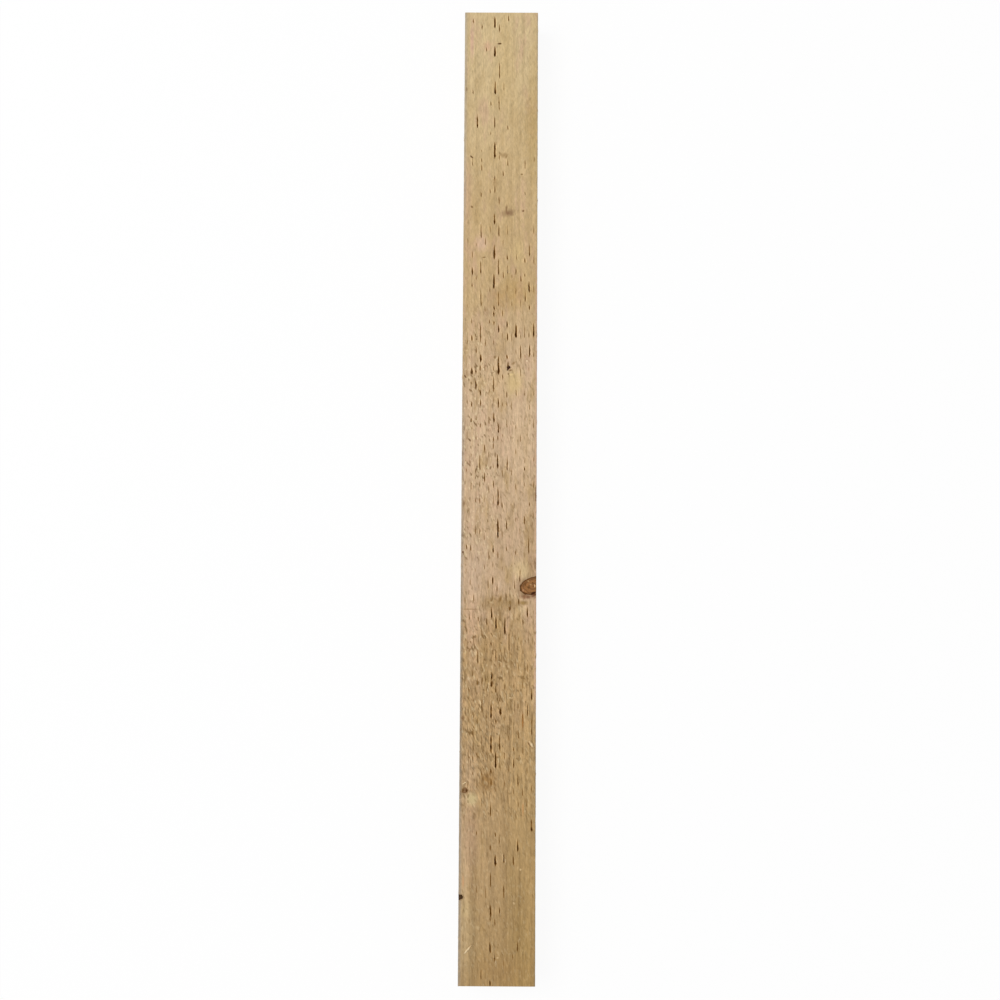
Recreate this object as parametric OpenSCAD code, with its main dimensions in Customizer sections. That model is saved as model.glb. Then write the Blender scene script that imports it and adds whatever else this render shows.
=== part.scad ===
// Timber stud: one sawn length of pressure-treated softwood, incised on all four
// long faces so that the preservative soaks in, then cross-cut square to length.
// It lies on a wide face: +Y along the length, +X across the wide face, +Z up.
// The origin is the centre of the underside. All sizes are millimetres.

/* [Stud] */
// Length between the two cut ends
stud_length = 975; // [300:1:1500]
// Width of the wide face
face_width = 75; // [50:1:125]
// Thickness, which is the width of the narrow edge
thickness = 47; // [36:1:75]
// Chamfer that handling has worn on the four long arrises
arris_wear = 0.8; // [0.2:0.1:2]

/* [Incising] */
// Length of one slit at the surface, along the grain
slit_length = 15; // [8:0.5:24]
// Width of a slit at the surface
slit_width = 0.9; // [0.4:0.1:1.6]
// Depth that the knives reach below the surface
slit_depth = 4; // [2:0.5:6]
// Slope of a slit's two ends, where the knife rolls in and out, from the vertical
slit_end_angle = 30; // [10:1:40]
// Spacing of the knife columns across a face
column_pitch = 4.45; // [3.6:0.05:9]
// How far the upper face's roller stands to the right of the face's middle
roller_shift = 0.6; // [-1.5:0.1:1.5]
// Spacing of the slits along one column; the next column is staggered by half of it
row_pitch = 33; // [27:1:60]
// Least bare strip between the outermost column and an arris
arris_margin = 4; // [3:0.5:12]
// Distance from the far end to the first slit of the upper face's first column
first_row = 9; // [0:1:30]
// How much later each further roller starts: underside, right edge, left edge
roller_lag = 10; // [0:1:15]

/* [Hidden] */

// The cutting shape rises this far out of the face, so that every slit opens cleanly
overcut = 0.5;
// A slit that would only graze a cut end by less than this is left out
least_bite = 0.5;
// The knife's side outline is this many times as thick as the vee that it trims
trim_share = 2;

half_width = face_width / 2;
half_length = stud_length / 2;

// The sawn section, standing on the XY plane's X axis, with its arrises worn off
module section() {
    polygon([
        [half_width - arris_wear, 0],
        [half_width, arris_wear],
        [half_width, thickness - arris_wear],
        [half_width - arris_wear, thickness],
        [arris_wear - half_width, thickness],
        [-half_width, thickness - arris_wear],
        [-half_width, arris_wear],
        [arris_wear - half_width, 0]
    ]);
}

// The print of one knife: a boat-shaped slit below the XY plane, lying along Y.
// A vee across the grain is trimmed by the slopes of the knife's two ends.
module slit() {
    flare = slit_width / 2 * (1 + overcut / slit_depth);
    rise = overcut * tan(slit_end_angle);
    run = slit_depth * tan(slit_end_angle);
    half_slit = slit_length / 2;
    intersection() {
        rotate([90, 0, 0])
            linear_extrude(slit_length + 2 * rise, center = true)
                polygon([[-flare, overcut], [flare, overcut], [0, -slit_depth]]);
        rotate([90, 0, 90])
            linear_extrude(trim_share * 2 * flare, center = true)
                polygon([
                    [-half_slit - rise, overcut],
                    [half_slit + rise, overcut],
                    [half_slit - run, -slit_depth],
                    [run - half_slit, -slit_depth]
                ]);
    }
}

// One roller's pass over a face of the given width, which faces +Z.
// lead is the distance from the far end to the first slit of the first column.
module roller_pass(width, lead) {
    columns = floor((width - 2 * arris_margin) / column_pitch) + 1;
    reach = slit_length / 2 - least_bite;
    for (column = [0 : columns - 1]) {
        x = (column - (columns - 1) / 2) * column_pitch;
        stagger = column % 2 * row_pitch / 2;
        top = half_length - lead - stagger;
        first = ceil((top - half_length - reach) / row_pitch);
        last = floor((top + half_length + reach) / row_pitch);
        for (row = [first : last])
            translate([x, top - row * row_pitch, 0])
                slit();
    }
}

module stud() {
    color("burlywood")
        difference() {
            rotate([90, 0, 0])
                linear_extrude(stud_length, center = true)
                    section();
            translate([roller_shift, 0, thickness])
                roller_pass(face_width, first_row);
            rotate([0, 180, 0])
                roller_pass(face_width, first_row + roller_lag);
            translate([half_width, 0, thickness / 2])
                rotate([0, 90, 0])
                    roller_pass(thickness, first_row + 2 * roller_lag);
            translate([-half_width, 0, thickness / 2])
                rotate([0, -90, 0])
                    roller_pass(thickness, first_row + 3 * roller_lag);
        }
}

stud();
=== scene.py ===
"""Looks of one sawn, incised timber stud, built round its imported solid.

The stud's skin is a section carried along its length, with every knife slit pressed into it. Torn fibres and
splinters lie on that skin, and one material holds the sawn faces, the knots and the end grain. Lengths are in
millimetres unless a comment says metres, and each mesh is turned into metres as it is made.
"""
import math
from collections import namedtuple

import bpy
import numpy as np
from mathutils import Matrix, Vector


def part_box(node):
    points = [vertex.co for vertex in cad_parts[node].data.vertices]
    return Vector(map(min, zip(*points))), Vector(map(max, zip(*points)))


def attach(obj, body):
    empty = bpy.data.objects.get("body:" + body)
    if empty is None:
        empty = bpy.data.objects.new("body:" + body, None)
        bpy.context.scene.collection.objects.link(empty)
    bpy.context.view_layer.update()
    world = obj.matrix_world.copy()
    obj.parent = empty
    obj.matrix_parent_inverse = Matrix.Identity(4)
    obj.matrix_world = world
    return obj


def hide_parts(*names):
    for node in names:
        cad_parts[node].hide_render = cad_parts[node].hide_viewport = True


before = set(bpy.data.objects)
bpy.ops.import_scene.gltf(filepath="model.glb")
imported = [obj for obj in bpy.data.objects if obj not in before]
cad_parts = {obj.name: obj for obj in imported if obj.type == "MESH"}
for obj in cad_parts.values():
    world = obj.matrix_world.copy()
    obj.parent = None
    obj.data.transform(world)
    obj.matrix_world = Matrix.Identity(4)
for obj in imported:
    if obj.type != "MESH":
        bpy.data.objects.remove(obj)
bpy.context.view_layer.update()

MM = 0.001
stud_low, stud_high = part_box("stud")
face_width, stud_length, thickness = (stud_high - stud_low) / MM
half_width = face_width / 2
half_length = stud_length / 2

# The incising rollers, as the solid has them
COLUMN_PITCH = 4.45
ROW_PITCH = 33
ARRIS_MARGIN = 4
ARRIS_WEAR = 0.8
FIRST_ROW = 9
ROLLER_LAG = 10
ROLLER_SHIFT = 0.6
# Sideways drift of the roller on the upper face: distance from the head end, and how far it had moved there
ROLLER_DRIFT = ((0, -0.4), (330, 0), (570, 0.5), (605, -0.8), (740, -0.7), (975, -0.3))

# How hard a knife bit: depth of the slit, and half its width at the surface
Bite = namedtuple("Bite", "depth half_width")
WIDE = Bite(2.8, 1.15)
DEEP = Bite(2.4, 0.88)
PLAIN = Bite(1.5, 0.68)
FAINT = Bite(0.8, 0.5)
# Half the width of a column where no slit is open
CLOSED_HALF_WIDTH = 0.28

# Slits of the upper face that stand widest open, by knife column from the left:
# distance of the slit's middle from the head end, and its length
WIDE_SLITS = {
    1: ((339, 6), (372, 8)),
    3: ((359, 8),),
    6: ((10, 13), (41, 12), (79, 15), (144, 18), (250, 15), (280, 16), (676, 8), (684, 7), (710, 17),
        (742, 19), (780, 7), (903, 12)),
    7: ((366, 20), (530, 20), (758, 17), (855, 11)),
    8: ((711, 8),),
    9: ((358, 5),),
    11: ((331, 15),),
    15: ((821, 13),),
}
# Slits of the upper face that show dark, in the same form
DEEP_SLITS = {
    1: ((270, 9), (285, 4)),
    2: ((114, 15), (373, 4), (386, 11)),
    3: ((394, 6), (404, 7)),
    6: ((216, 12), (308, 5), (314, 5), (323, 4), (419, 10), (551, 8), (582, 9), (614, 13), (645, 4), (769, 5),
        (843, 6), (938, 11), (972, 6)),
    7: ((329, 8), (404, 11), (429, 13), (463, 15), (498, 20), (624, 13), (721, 4)),
    9: ((256, 5), (325, 7), (337, 8), (627, 18)),
    10: ((610, 4),),
    11: ((855, 10),),
    12: ((840, 13),),
    13: ((259, 6), (471, 4)),
    14: ((286, 11), (307, 5), (351, 13), (613, 12)),
    15: ((330, 15), (694, 13)),
}
# Slits of the upper face that show less, in the same form
PLAIN_SLITS = {
    0: ((549, 6),),
    1: ((9, 5), (84, 5), (406, 6), (422, 4), (550, 7), (690, 5)),
    2: ((277, 4), (350, 9), (419, 6), (714, 7), (756, 5)),
    3: ((15, 5), (146, 3), (155, 4), (163, 7), (191, 6), (228, 17), (266, 14), (297, 18), (333, 20), (369, 7),
        (427, 5), (464, 17), (503, 6), (534, 5), (620, 5), (657, 15), (829, 5)),
    4: ((39, 5), (450, 8), (479, 11), (680, 6), (705, 14)),
    5: ((96, 5), (187, 5), (322, 4), (623, 9)),
    6: ((115, 13), (174, 5), (185, 8), (385, 17), (441, 5), (448, 6), (486, 8), (806, 15), (873, 15),
        (911, 5)),
    7: ((16, 9), (60, 19), (95, 16), (152, 6), (197, 10), (228, 12), (265, 18), (298, 17), (440, 4), (557, 8),
        (590, 7), (656, 12), (689, 8), (830, 5), (914, 7), (948, 7)),
    8: ((169, 6), (313, 8), (378, 5), (507, 8), (651, 5), (700, 5), (741, 17), (903, 7)),
    9: ((6, 7), (121, 5), (157, 9), (268, 10), (396, 7), (406, 4), (465, 16), (527, 10), (687, 7), (852, 12),
        (884, 14)),
    10: ((641, 21),),
    11: ((270, 7), (429, 4), (748, 4), (761, 10)),
    12: ((278, 7), (352, 15), (577, 15), (603, 6), (777, 13), (937, 11)),
    13: ((159, 10), (190, 5), (274, 4), (296, 12), (522, 10), (623, 6)),
    14: ((248, 14), (506, 5), (547, 18), (709, 13)),
    15: ((725, 18),),
}
# Slits of the upper face that barely show, in the same form
FAINT_SLITS = {
    11: ((394, 8),),
    13: ((331, 16), (394, 8), (463, 6)),
    15: ((394, 8), (461, 6)),
}
LISTED_SLITS = ((WIDE, WIDE_SLITS), (DEEP, DEEP_SLITS), (PLAIN, PLAIN_SLITS), (FAINT, FAINT_SLITS))
# The roller's other places: how far a slit strays along the grain, its room to a listed slit, and its length
SLIT_STRAY = 4.0
LISTED_CLEARANCE = 14
FAINT_LENGTHS = (4, 12)
FULL_LENGTHS = (7, 18)
# Share of the other places where the upper face was marked: most in its middle, little near the two ends
MIDDLE_SHARE = 0.7
MIDDLE_REACH = (225, 800)
OUTER_SHARE = 0.1
# Shares of the places on the other faces where a knife bit deep, at least plainly, and at all
HIDDEN_SHARES = (0.25, 0.6, 0.85)
# How unlike the slits are, as a share of their depth and width: listed ones, and those at other places
LISTED_UNLIKE = 0.08
OTHERS_UNLIKE = 0.18
# A slit's head end and foot end taper over these lengths, and it is deeper and wider towards its foot end
SLIT_TAPERS = (5.0, 1.6)
FOOTWARD_BITE = 0.45
FOOTWARD_WIDTH = 0.22
# Torn fibres fill a slit in places, as a wave of this length and share, and narrow it less than they fill it
TEAR_LENGTHS = (6, 14)
TEAR_SHARES = (0.04, 0.36)
TEAR_NARROWS = 0.3
# How unevenly each lip of a slit was cut, and how much nearer to its bottom the left lip is, as shares of
# its opening
LIP_RAGGED = 0.3
LIP_SKEW = 0.2
# How far a slit strays sideways from its column, leans over its length, and wanders between points that
# stand a step apart
SIDE_STRAY = 0.3
SIDE_LEAN = 0.35
SIDE_WANDER = 0.16
WANDER_STEP = 5

# A long face of the stud. centre, across and outward are X and Z, and across follows the section's outline
# clockwise
Face = namedtuple("Face", "width centre across outward shift lead listed seed")
FACES = (
    Face(face_width, (0, thickness), (1, 0), (0, 1), ROLLER_SHIFT, FIRST_ROW, True, 11),
    Face(thickness, (half_width, thickness / 2), (0, -1), (1, 0), 0, FIRST_ROW + 2 * ROLLER_LAG, False, 12),
    Face(face_width, (0, 0), (-1, 0), (0, -1), 0, FIRST_ROW + ROLLER_LAG, False, 13),
    Face(thickness, (-half_width, thickness / 2), (0, 1), (-1, 0), 0, FIRST_ROW + 3 * ROLLER_LAG, False, 14),
)

# Stations along the length, and the short first step at each cut end
STATIONS = 545
END_STEP = 0.5
# Rough sawing: depth of the saw's waves, their length along the stud and their slant
SAW_WAVE_DEPTH = 0.14
SAW_WAVE_LENGTH = 13
SAW_WAVE_SLANT = 0.35
# Uneven wear of the arrises
ARRIS_WANDER = 0.25
# Gentle unevenness: how many sine waves make it, how far they slope at most, and their lengths
WAVE_COUNT = 7
WAVE_SLOPE = 0.12
WAVE_LENGTHS = (18, 90)


def display_colour(red, green, blue):
    """A colour given as it displays, 0 to 255, in the linear form that shaders take."""
    shares = np.array([red, green, blue]) / 255
    linear = np.where(shares <= 0.04045, shares / 12.92, ((shares + 0.055) / 1.055) ** 2.4)
    return (*map(float, linear), 1.0)


def column_places(face):
    """Where a face's knife columns stand: evenly spaced about its middle, moved by the roller's shift."""
    count = math.floor((face.width - 2 * ARRIS_MARGIN) / COLUMN_PITCH) + 1
    return (np.arange(count) - (count - 1) / 2) * COLUMN_PITCH + face.shift


def other_bite(face, middle, hardness):
    """How hard a knife bit at a place that isn't listed, from a random number; None where it left no mark."""
    if face.listed:
        in_middle = MIDDLE_REACH[0] < middle < MIDDLE_REACH[1]
        return FAINT if hardness < (MIDDLE_SHARE if in_middle else OUTER_SHARE) else None
    for bite, share in zip((DEEP, PLAIN, FAINT), HIDDEN_SHARES):
        if hardness < share:
            return bite
    return None


def on_knot(face, place, middle):
    """Whether a place on a face is on a knot, which is too hard for the knives to mark."""
    x = face.centre[0] + face.across[0] * place
    z = face.centre[1] + face.across[1] * place
    for knot in KNOTS:
        near = math.hypot(x - knot.x, z - knot.z) < knot.radius * knot.spread
        if near and abs(middle - knot.from_head) < knot.radius + FAINT_LENGTHS[0]:
            return True
    return False


def knife_slits(face):
    """All slits of a face as rows of column, middle, length, depth and half width.

    The listed ones come first. Each other place of the roller's staggered pattern is then filled at random,
    unless a knot is there or a listed slit is near it in its column.
    """
    rng = np.random.default_rng(face.seed)
    rows = []
    if face.listed:
        for bite, listed in LISTED_SLITS:
            for column, slits in listed.items():
                rows += [(column, middle, length, *bite) for middle, length in slits]
    taken = [(row[0], row[1]) for row in rows]
    for column, place in enumerate(column_places(face)):
        first = face.lead + column % 2 * ROW_PITCH / 2
        for middle in np.arange(first - ROW_PITCH, stud_length + ROW_PITCH, ROW_PITCH):
            middle = middle + rng.uniform(-SLIT_STRAY, SLIT_STRAY)
            bite = other_bite(face, middle, rng.uniform())
            length = rng.uniform(*(FAINT_LENGTHS if bite is FAINT else FULL_LENGTHS))
            crowded = any(c == column and abs(m - middle) < LISTED_CLEARANCE for c, m in taken)
            if bite and not crowded and not on_knot(face, place, middle):
                rows.append((column, middle, length, *bite))
    rows = np.array(rows)
    unlike = np.where(np.arange(len(rows)) < len(taken), LISTED_UNLIKE, OTHERS_UNLIKE)
    rows[:, 3:] *= (1 + unlike * rng.uniform(-1, 1, len(rows)))[:, None]
    return rows


def station_places():
    """Distances from the head end where the section is taken: even steps, and a short one at each end."""
    return np.concatenate([[0], np.linspace(END_STEP, stud_length - END_STEP, STATIONS), [stud_length]])


def smooth_waves(across, along, seed):
    """Gentle unevenness from 0 to 1: the mean of sine waves of random direction, length and phase."""
    rng = np.random.default_rng(seed)
    total = 0
    for _ in range(WAVE_COUNT):
        slope = rng.uniform(-WAVE_SLOPE, WAVE_SLOPE)
        step = 2 * np.pi / rng.uniform(*WAVE_LENGTHS)
        total = total + np.sin(across * slope + along * step + rng.uniform(0, 2 * np.pi))
    return 0.5 + total / (2 * WAVE_COUNT)


def column_shape(slits, stations, rng):
    """Sideways stray, both lips' half widths, depth and strength of one knife column at every station.

    A slit tapers to both ends, is deeper and wider towards the foot, and is partly filled where a wave of
    torn fibres crosses it. Between slits the column runs on from one to the next.
    """
    slits = slits[np.argsort(slits[:, 1])]
    middle, length, depth, half = slits[:, 1], slits[:, 2], slits[:, 3], slits[:, 4]
    lean = rng.uniform(0, SIDE_LEAN, len(slits))
    stray = rng.uniform(-SIDE_STRAY, SIDE_STRAY, len(slits))
    ends = np.stack([middle - length / 2, middle + length / 2], 1)
    leaned = np.stack([stray - lean / 2, stray + lean / 2], 1)
    bends = np.arange(0, stud_length + 2 * WANDER_STEP, WANDER_STEP)
    wander = np.interp(stations, bends, rng.uniform(-SIDE_WANDER, SIDE_WANDER, len(bends)))
    sideways = np.interp(stations, ends.ravel(), leaned.ravel()) + wander
    along = (stations[:, None] - middle) / (length / 2)
    head_taper, foot_taper = (np.minimum(taper, length / 3) for taper in SLIT_TAPERS)
    ends_in = np.minimum((1 + along) / head_taper, (1 - along) / foot_taper) * length / 2
    taper = np.clip(ends_in, 0, 1)
    tear_length = rng.uniform(*TEAR_LENGTHS, len(slits))
    phase = rng.uniform(0, 2 * np.pi, len(slits))
    tear_share = rng.uniform(*TEAR_SHARES, len(slits))
    torn = 1 - tear_share * (1 + np.sin(stations[:, None] * 2 * np.pi / tear_length + phase))
    bottom = (taper * torn * depth * (1 + FOOTWARD_BITE * along)).max(1)
    spread = (1 + TEAR_NARROWS * (torn - 1)) * (1 + FOOTWARD_WIDTH * along)
    opening = (np.sqrt(taper) * spread * np.maximum(half - CLOSED_HALF_WIDTH, 0)).max(1)
    ragged = rng.uniform(1 - LIP_RAGGED, 1 + LIP_RAGGED, (2, len(stations)))
    lips = CLOSED_HALF_WIDTH + opening * ragged * np.array([[1 - LIP_SKEW], [1 + LIP_SKEW]])
    strength = (np.sqrt(taper) * np.sqrt(depth / DEEP.depth)).max(1)
    return sideways, lips, bottom, strength


Surface = namedtuple("Surface", "x z slit_depth slit_strength knife_across wear")


def face_surface(face, stations):
    """One long face as a Surface of arrays, stations by lines across.

    Three lines follow each knife column: a slit's two lips and its bottom. The whole face is lowered a
    little by the waves of the saw. One more line at each side marks where the worn arris begins. knife_across
    counts across the face in column pitches: a whole number is the middle of a column, wherever it strays.
    """
    slits = knife_slits(face)
    rng = np.random.default_rng(face.seed + 100)
    level = np.zeros_like(stations)
    drift = np.interp(stations, *zip(*ROLLER_DRIFT)) if face.listed else level
    across, depths, strengths, counts = [], [], [], []
    for column, place in enumerate(column_places(face)):
        sideways, lips, bottom, strength = column_shape(slits[slits[:, 0] == column], stations, rng)
        for aside, line_depth in ((-lips[0], level), (level, bottom), (lips[1], level)):
            across.append(place + drift + sideways + aside)
            depths.append(line_depth)
            strengths.append(strength)
            counts.append(column + aside / COLUMN_PITCH)
    begin = face.width / 2 - ARRIS_WEAR
    first = -begin + ARRIS_WANDER * smooth_waves(0, stations, face.seed + 200)
    last = begin - ARRIS_WANDER * smooth_waves(0, stations, face.seed + 300)
    before = counts[0] + (first - across[0]) / COLUMN_PITCH
    after = counts[-1] + (last - across[-1]) / COLUMN_PITCH
    across = np.stack([first, *across, last], 1)
    depth = np.stack([level, *depths, level], 1)
    strength = np.stack([level, *strengths, level], 1)
    wear = np.zeros_like(depth)
    wear[:, [0, -1]] = 1
    waves = np.sin((stations[:, None] + SAW_WAVE_SLANT * across) * 2 * np.pi / SAW_WAVE_LENGTH)
    uneven = smooth_waves(across, stations[:, None], face.seed + 400)
    sunk = depth + SAW_WAVE_DEPTH * uneven * (1 + waves) / 2
    x = face.centre[0] + face.across[0] * across - face.outward[0] * sunk
    z = face.centre[1] + face.across[1] * across - face.outward[1] * sunk
    return Surface(x, z, depth, strength, np.stack([before, *counts, after], 1), wear)


def arris_line(before, after, corner):
    """The line between two faces: midway between their last lines, then a third of the way to the corner."""
    middle = (before + after) / 2
    return (middle + (corner - middle) / 3)[:, None]


def section_loops(stations):
    """The stud's outline at every station as one Surface, clockwise from the upper face's first line."""
    sides = [face_surface(face, stations) for face in FACES]
    corners = ((half_width, thickness), (half_width, 0), (-half_width, 0), (-half_width, thickness))
    level = np.zeros((len(stations), 1))
    joined = []
    for n, (corner_x, corner_z) in enumerate(corners):
        side, following = sides[n], sides[(n + 1) % len(sides)]
        arris_x = arris_line(side.x[:, -1], following.x[:, 0], corner_x)
        arris_z = arris_line(side.z[:, -1], following.z[:, 0], corner_z)
        joined += [side, Surface(arris_x, arris_z, level, level, level, level + 1)]
    return Surface(*(np.concatenate(parts, 1) for parts in zip(*joined)))


def add_object(name, data):
    """A new object of the scene, at the origin."""
    added = bpy.data.objects.new(name, data)
    bpy.context.scene.collection.objects.link(added)
    return added


def mesh_piece(name, points, faces, material):
    """A smooth mesh object at the origin, in metres, from points in millimetres and lists of corners."""
    mesh = bpy.data.meshes.new(name)
    mesh.from_pydata(points * MM, [], faces)
    mesh.update()
    mesh.shade_smooth()
    mesh.materials.append(material)
    return add_object(name, mesh)


def store(piece, name, values, domain="POINT", kind="FLOAT"):
    """Stores one value for each point, edge or face of a piece."""
    attribute = piece.data.attributes.new(name, kind, domain)
    attribute.data.foreach_set("value", values)


def crease(piece, line_of_point, creased_lines):
    """Makes sharp the edges along given lines of the stud's section, and the rims of its cut ends.

    line_of_point tells each point's line. An edge runs along the stud where both its points are on one line.
    """
    ends = np.empty(len(piece.data.edges) * 2, int)
    piece.data.edges.foreach_get("vertices", ends)
    ends = ends.reshape(-1, 2)
    lines = line_of_point[ends]
    along = (lines[:, 0] == lines[:, 1]) & np.isin(lines[:, 0], creased_lines)
    places = np.empty(len(piece.data.vertices) * 3)
    piece.data.vertices.foreach_get("co", places)
    lengthwise = np.abs(places.reshape(-1, 3)[ends, 1]) / MM
    rim = (lengthwise > half_length - END_STEP / 2).all(1)
    store(piece, "sharp_edge", along | rim, "EDGE", "BOOLEAN")


def stud_skin(material):
    """The stud's closed surface: its outline carried along the length, and one face on each cut end."""
    stations = station_places()
    loops = section_loops(stations)
    y = np.broadcast_to((half_length - stations)[:, None], loops.x.shape)
    points = np.stack([loops.x, y, loops.z], -1).reshape(-1, 3)
    station_count, loop_count = loops.x.shape
    index = np.arange(loops.x.size).reshape(loops.x.shape)
    onward = np.roll(index, -1, 1)
    quads = np.stack([index[:-1], index[1:], onward[1:], onward[:-1]], -1).reshape(-1, 4)
    cut_ends = [index[0].tolist(), index[-1, ::-1].tolist()]
    skin = mesh_piece("sawn_skin", points, quads.tolist() + cut_ends, material)
    for name in ("slit_depth", "slit_strength", "knife_across", "wear"):
        store(skin, name, getattr(loops, name).ravel())
    on_cut_end = np.arange(len(skin.data.polygons)) >= len(quads)
    store(skin, "cut_end", on_cut_end.astype(float), "FACE")
    level_lines = np.flatnonzero((loops.slit_depth == 0).all(0))
    crease(skin, np.tile(np.arange(loop_count), station_count), level_lines)
    return skin


class Nodes:
    """Adds nodes to one node tree. Each method returns the new node's output socket."""

    def __init__(self, tree):
        self.tree = tree
        tree.nodes.clear()

    def join(self, socket, value):
        """Feeds a socket from another socket, or sets it to a plain value."""
        if isinstance(value, bpy.types.NodeSocket):
            self.tree.links.new(value, socket)
        elif value is not None:
            socket.default_value = value

    def add(self, kind, inputs=(), output=0, **settings):
        """A node of a kind with its settings. inputs feed its sockets in order, or by name."""
        node = self.tree.nodes.new(kind)
        for name, value in settings.items():
            setattr(node, name, value)
        named = inputs.items() if isinstance(inputs, dict) else enumerate(inputs)
        for key, value in named:
            self.join(node.inputs[key], value)
        return node.outputs[output]

    def show(self, surface, kind="ShaderNodeOutputMaterial"):
        """Joins a surface to the tree's output, which is a new node of a kind."""
        self.tree.links.new(surface, self.tree.nodes.new(kind).inputs["Surface"])

    def place(self):
        """Place on the piece, in millimetres."""
        return self.vector("MULTIPLY", self.add("ShaderNodeTexCoord", output=3), (1 / MM, 1 / MM, 1 / MM))

    def math(self, operation, *numbers):
        """One sum on numbers."""
        return self.add("ShaderNodeMath", numbers, operation=operation)

    def plus(self, first, *others):
        """All numbers added together."""
        for other in others:
            first = self.math("ADD", first, other)
        return first

    def minus(self, a, b):
        """a - b"""
        return self.math("SUBTRACT", a, b)

    def times(self, first, *others):
        """All numbers multiplied together."""
        for other in others:
            first = self.math("MULTIPLY", first, other)
        return first

    def over(self, a, b):
        """a / b"""
        return self.math("DIVIDE", a, b)

    def vector(self, operation, a, b=None, output=0):
        """One sum on vectors."""
        return self.add("ShaderNodeVectorMath", (a, b), output, operation=operation)

    def dot(self, a, b):
        """The dot product of two vectors."""
        return self.vector("DOT_PRODUCT", a, b, 1)

    def split(self, vector):
        """The three numbers of a vector."""
        first = self.add("ShaderNodeSeparateXYZ", (vector,))
        return tuple(first.node.outputs)

    def noise(self, place, scale, detail=2.0, roughness=0.5):
        """Cloudy noise about 0.5; scale gives the clouds to the millimetre along X, Y and Z."""
        inputs = {
            "Vector": self.vector("MULTIPLY", place, scale),
            "Scale": 1.0,
            "Detail": detail,
            "Roughness": roughness,
        }
        return self.add("ShaderNodeTexNoise", inputs)

    def step(self, value, start, end):
        """A smooth step from 0 at start to 1 at end; start may be the larger."""
        inputs = (value, start, end, 0.0, 1.0)
        return self.add("ShaderNodeMapRange", inputs, interpolation_type="SMOOTHSTEP")

    def hump(self, value, start, rise, fall, end):
        """0 before start, 1 from rise to fall and 0 after end, with smooth flanks."""
        return self.times(self.step(value, start, rise), self.step(value, end, fall))

    def mix(self, share, first, second):
        """The second colour laid over the first by a share; a colour is a socket or display numbers."""
        colours = [c if isinstance(c, bpy.types.NodeSocket) else display_colour(*c) for c in (first, second)]
        inputs = dict(zip((0, 6, 7), (share, *colours)))
        return self.add("ShaderNodeMix", inputs, 2, data_type="RGBA")

    def ramp(self, value, stops):
        """A colour that runs through stops of place and display colour."""
        result = self.add("ShaderNodeValToRGB", (value,))
        ramp = result.node.color_ramp
        ramp.interpolation = "EASE"
        while len(ramp.elements) < len(stops):
            ramp.elements.new(1.0)
        for element, (place, colour) in zip(ramp.elements, stops):
            element.position = place
            element.color = display_colour(*colour)
        return result

    def attribute(self, name):
        """A number stored on the piece."""
        return self.add("ShaderNodeAttribute", output=2, attribute_name=name)

    def shade(self, colour, *parts):
        """A colour times 1 plus the sum of centred noises, each given as a pair of noise and weight."""
        total = 1.0
        for noise, weight in parts:
            total = self.plus(total, self.times(self.minus(noise, 0.5), weight))
        return self.add("ShaderNodeHueSaturation", {"Color": colour, "Value": total})


def new_material(name):
    """A new material, and the Nodes that fill its empty tree."""
    material = bpy.data.materials.new(name)
    material.use_nodes = True
    return material, Nodes(material.node_tree)


# How dull the wood is
WOOD_ROUGHNESS = 0.86
WOOD_GLOSS = 0.12


def show_wood(nodes, colour, normal=None):
    """Makes dull wood of a colour the surface of a material."""
    inputs = {"Base Color": colour, "Roughness": WOOD_ROUGHNESS, "Specular IOR Level": WOOD_GLOSS}
    nodes.show(nodes.add("ShaderNodeBsdfPrincipled", inputs | {"Normal": normal}))


# Growth rings: the pith runs along the stud, below the underside and left of its middle
PITH = (-6, -14)
RING_SPACING = 4.6
# How far the widths of wet and dry years move the rings
YEARS_UNLIKE = 1.7

# A knot, which is a branch that grew out of the pith: where its heart leaves the stud, its radius there, how
# much wider than long it shows, how its width tilts in degrees, how far it climbs towards the head on its
# way out, its colours and how ragged it is
Knot = namedtuple("Knot", "x z from_head radius spread tilt climb heart rim ragged")
KNOTS = (
    Knot(35.1, thickness, 587.8, 8.9, 1.62, 12, 4, (154, 107, 64), (80, 48, 18), 0.1),
    Knot(9.0, thickness, 368.3, 1.6, 1.0, 0, 6, (44, 16, 10), (66, 34, 16), 0.8),
    Knot(-31.9, thickness, 788, 2.5, 1.1, 0, 6, (150, 114, 78), (132, 96, 56), 0.4),
    Knot(-36.6, thickness, 890.4, 2.5, 1.3, 0, 6, (74, 52, 30), (58, 38, 20), 0.3),
    Knot(half_width, 20, 262, 7, 1.0, 0, 9, (156, 108, 66), (84, 52, 26), 0.2),
    Knot(-half_width, 26, 655, 6, 1.0, 0, 8, (148, 102, 60), (80, 50, 25), 0.25),
    Knot(-half_width, 9, 300, 3, 1.0, 0, 8, (120, 80, 44), (74, 46, 24), 0.35),
    Knot(half_width, 30, 815, 3.5, 1.0, 0, 8, (136, 94, 54), (70, 42, 20), 0.35),
)
# The knots that the fibres bow round
BOWED_KNOTS = KNOTS[:3]

# A mark on the upper face: an ellipse of half sizes across and along. share is its strength, soft the share
# of its reach over which it fades, and turn its turn anticlockwise in degrees
Mark = namedtuple("Mark", "x from_head across along colour share soft turn", defaults=(0.9, 0))
# How far a mark reaches below the upper face
MARK_DEPTH = 8
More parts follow.
